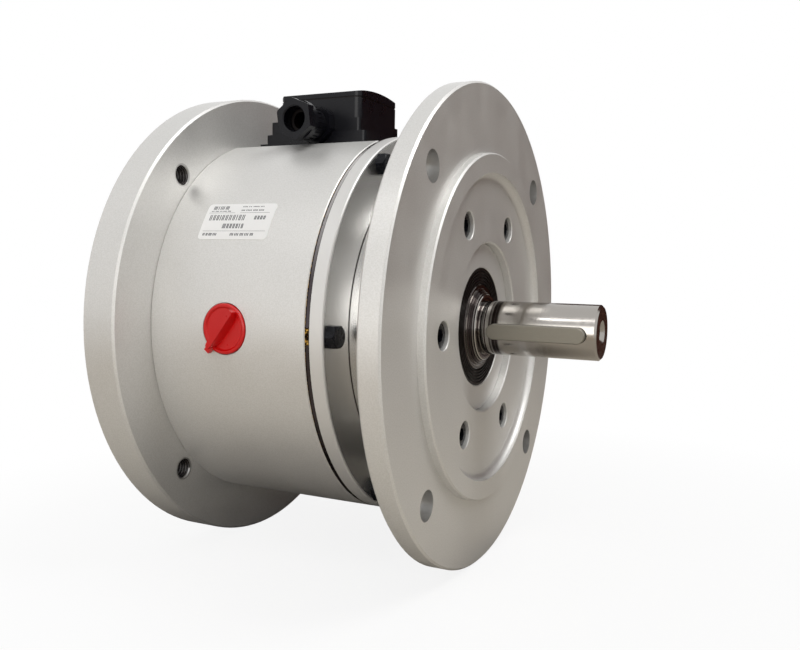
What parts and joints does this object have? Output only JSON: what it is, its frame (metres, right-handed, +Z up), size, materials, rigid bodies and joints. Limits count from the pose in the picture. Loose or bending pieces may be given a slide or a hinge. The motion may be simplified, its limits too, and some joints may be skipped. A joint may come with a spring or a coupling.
{
  "type": "clutch brake unit",
  "caption": "Flange-mounted electromagnetic clutch and brake in a round aluminium housing, with keyed output shaft, hollow keyed input, terminal box with cable gland and a turning knob.",
  "frame": {"origin": "middle of the output flange's mounting face, on the shaft axis", "axes": "+X along the shaft, out of the output side; +Z up, towards the terminal box; -Y the side with knob and label"},
  "size_m": [0.2184, 0.25, 0.2501],
  "materials": {
    "cast_aluminium": "turned",
    "shaft_steel": "turned bright",
    "key_steel": "ground matt",
    "bearing_steel": "polished",
    "black_screw_steel": "black oxide",
    "magnet_steel": "dark turned",
    "friction_disc_steel": "ground",
    "spring_steel": "satin",
    "zinc_steel": "zinc plated",
    "brass": "rolled",
    "coil_copper": "enamelled winding",
    "lead_insulation": "smooth",
    "friction_lining": "fibrous",
    "black_rubber": "satin",
    "box_plastic": "moulded semi-gloss",
    "block_plastic": "moulded",
    "knob_plastic": "glossy red",
    "label_film": "white film"
  },
  "bodies": {
    "unit": {"output_flange": "cast_aluminium", "output_flange_screws": "black_screw_steel", "end_shield": "cast_aluminium", "shield_bolts": "black_screw_steel", "brake_magnet": "magnet_steel", "brake_shim": "brass", "brake_coil": "coil_copper", "brake_lining": "friction_lining", "housing": "cast_aluminium", "input_flange": "cast_aluminium", "input_flange_screws": "black_screw_steel", "clutch_magnet": "magnet_steel", "clutch_coil": "coil_copper", "clutch_magnet_screws": "black_screw_steel", "input_bearing_outer_ring": "bearing_steel", "input_bearing_circlip": "spring_steel", "output_bearing_outer_ring": "bearing_steel", "output_bearing_circlip": "spring_steel", "shaft_seal": "black_rubber", "knob_seal_ring": "black_rubber", "terminal_box": "box_plastic", "terminal_lid": "box_plastic", "lid_gasket": "black_rubber", "lid_screws": "zinc_steel", "box_screws": "zinc_steel", "terminal_block": "block_plastic", "gland_body": "box_plastic", "gland_nut": "box_plastic", "gland_seal": "black_rubber", "coil_leads": "lead_insulation", "rating_label": "label_film"},
    "input_rotor": {"input_rotor": "friction_disc_steel", "clutch_lining": "friction_lining", "rotor_circlip": "spring_steel", "input_bearing_inner_ring": "bearing_steel", "pilot_bearing_outer_ring": "bearing_steel", "pilot_bearing_ball_cage": "bearing_steel"},
    "output_shaft": {"output_shaft": "shaft_steel", "output_key": "key_steel", "armature_hub": "shaft_steel", "hub_key": "key_steel", "hub_circlip": "spring_steel", "hub_rivets": "zinc_steel", "clutch_spring": "spring_steel", "brake_spring": "spring_steel", "shaft_spacer": "shaft_steel", "output_bearing_inner_ring": "bearing_steel", "shaft_circlip": "spring_steel", "pilot_bearing_inner_ring": "bearing_steel"},
    "clutch_armature": {"clutch_armature": "friction_disc_steel"},
    "brake_armature": {"brake_armature": "friction_disc_steel"},
    "input_ball_cage": {"input_bearing_ball_cage": "bearing_steel"},
    "output_ball_cage": {"output_bearing_ball_cage": "bearing_steel"},
    "knob": {"knob": "knob_plastic"}
  },
  "joints": [
    {"name": "input_spin", "type": "hinge", "parent": "unit", "child": "input_rotor", "pos_m": [-0.12, 0, 0], "axis": [1, 0, 0], "continuous": true},
    {"name": "output_spin", "type": "hinge", "parent": "unit", "child": "output_shaft", "pos_m": [0, 0, 0], "axis": [1, 0, 0], "continuous": true},
    {"name": "clutch_armature_slide", "type": "slide", "parent": "output_shaft", "child": "clutch_armature", "axis": [-1, 0, 0], "range_m": [0, 0.0004]},
    {"name": "brake_armature_slide", "type": "slide", "parent": "output_shaft", "child": "brake_armature", "axis": [1, 0, 0], "range_m": [0, 0.0004]},
    {"name": "input_cage_spin", "type": "hinge", "parent": "unit", "child": "input_ball_cage", "pos_m": [-0.1414, 0, 0], "axis": [1, 0, 0], "continuous": true},
    {"name": "output_cage_spin", "type": "hinge", "parent": "unit", "child": "output_ball_cage", "pos_m": [-0.023, 0, 0], "axis": [1, 0, 0], "continuous": true},
    {"name": "knob_turn", "type": "hinge", "parent": "unit", "child": "knob", "pos_m": [-0.0945, -0.1, 0.0013], "axis": [0, -1, 0], "range_deg": [0, 90]}
  ],
  "couplings": [
    {"joint": "input_cage_spin", "follows": "input_spin", "ratio": 0.425},
    {"joint": "output_cage_spin", "follows": "output_spin", "ratio": 0.40385}
  ]
}
